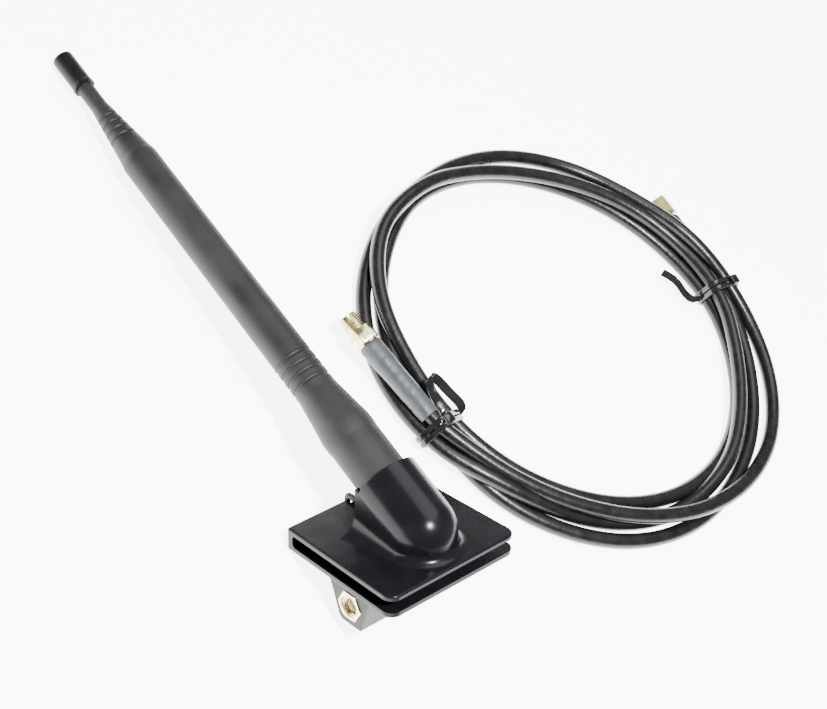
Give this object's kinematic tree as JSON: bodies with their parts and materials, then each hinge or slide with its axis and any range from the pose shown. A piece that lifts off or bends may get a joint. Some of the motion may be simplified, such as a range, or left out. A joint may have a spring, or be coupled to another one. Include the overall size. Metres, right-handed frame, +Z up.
{
  "type": "window-clip cellular antenna with coiled extension lead",
  "caption": "Whip antenna in a domed hood on a U-shaped window clip with a jack under its inner jaw, lying beside a coiled coaxial extension lead held by two ties.",
  "frame": {"origin": "under the middle of the antenna (clip and whip) as it lies on a table; +Z is up and z = 0 is the table", "axes": "+X runs level from the whip's tip towards the clip's mouth, the antenna's longest extent; +Y runs across the clip towards the coiled lead; +Z is up"},
  "size_m": [0.2244, 0.2135, 0.0372],
  "materials": {
    "black_plastic": "satin",
    "whip_rubber": "matte",
    "cable_jacket": "satin",
    "gold_plate": "polished",
    "steel": "satin",
    "dielectric": "satin",
    "copper_foil": "satin",
    "shrink_grey": "matte",
    "shrink_black": "satin",
    "tie_black": "gloss",
    "seal_rubber": "matte"
  },
  "bodies": {
    "clip": {"clip_body": "black_plastic", "hood_floor_cover": "black_plastic", "connector_housing": "black_plastic", "lead_jack_shell": "gold_plate", "lead_jack_sleeve": "gold_plate", "lead_jack_pin": "gold_plate", "base_jack_shell": "gold_plate", "base_jack_contact": "gold_plate", "socket_body": "gold_plate", "socket_contact": "gold_plate", "plug_body": "gold_plate", "plug_pin": "gold_plate", "base_jack_nut": "steel", "base_jack_washer": "steel", "pigtail_ferrules": "steel", "socket_ferrule": "steel", "plug_ferrule": "steel", "lead_jack_insulator": "dielectric", "base_jack_insulator": "dielectric", "socket_insulator": "dielectric", "plug_insulator": "dielectric", "pigtail_coax": "cable_jacket", "cable_coil": "cable_jacket", "cable_end_socket": "cable_jacket", "cable_end_plug": "cable_jacket", "socket_boot": "shrink_grey", "plug_boot": "shrink_black", "tie_front": "tie_black", "tie_rear": "tie_black", "plug_gasket": "seal_rubber"},
    "whip": {"whip_sheath": "whip_rubber", "whip_coupling_nut": "steel", "whip_insulator": "dielectric", "whip_pin": "gold_plate", "radiator_rod": "copper_foil", "choke_sleeve": "copper_foil", "sleeve_spacers": "dielectric", "tip_cap": "whip_rubber"},
    "coupling_nut": {"plug_nut": "gold_plate"}
  },
  "joints": [
    {"name": "whip_turn", "type": "hinge", "parent": "clip", "child": "whip", "pos_m": [0.06989, 0, 0.02532], "axis": [-0.9918, 0, -0.1275], "continuous": true},
    {"name": "plug_nut_spin", "type": "hinge", "parent": "clip", "child": "coupling_nut", "pos_m": [0.0181, 0.18118, 0.0048], "axis": [0.9976, 0.0698, 0], "continuous": true}
  ]
}
